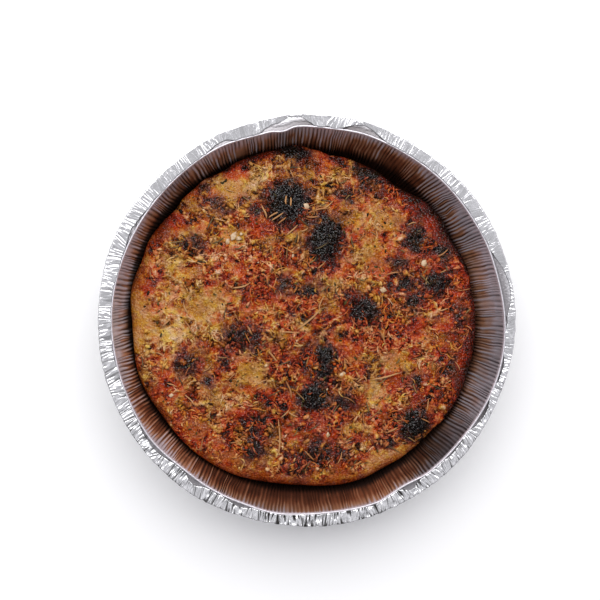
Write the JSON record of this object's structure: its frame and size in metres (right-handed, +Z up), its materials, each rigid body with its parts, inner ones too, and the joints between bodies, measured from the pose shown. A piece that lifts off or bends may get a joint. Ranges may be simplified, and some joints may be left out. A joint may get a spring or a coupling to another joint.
{
  "type": "herb focaccia",
  "caption": "Round herb focaccia with a scorched, cheese-crumbed crust, in the crimped round foil pan that it was baked in.",
  "frame": {"origin": "middle of the pan's underside, on the table", "axes": "+Z up out of the pan's mouth; the loaf sits a little towards -X; +Y is the side of the rim where the crimped lip stands widest open"},
  "size_m": [0.2258, 0.2234, 0.0444],
  "materials": {
    "crust": null,
    "foil": "thin bright foil, pleated and crimped, stained brown inside by baked oil"
  },
  "bodies": {
    "root": {"focaccia": "crust", "foil_pan": "foil"}
  },
  "joints": []
}
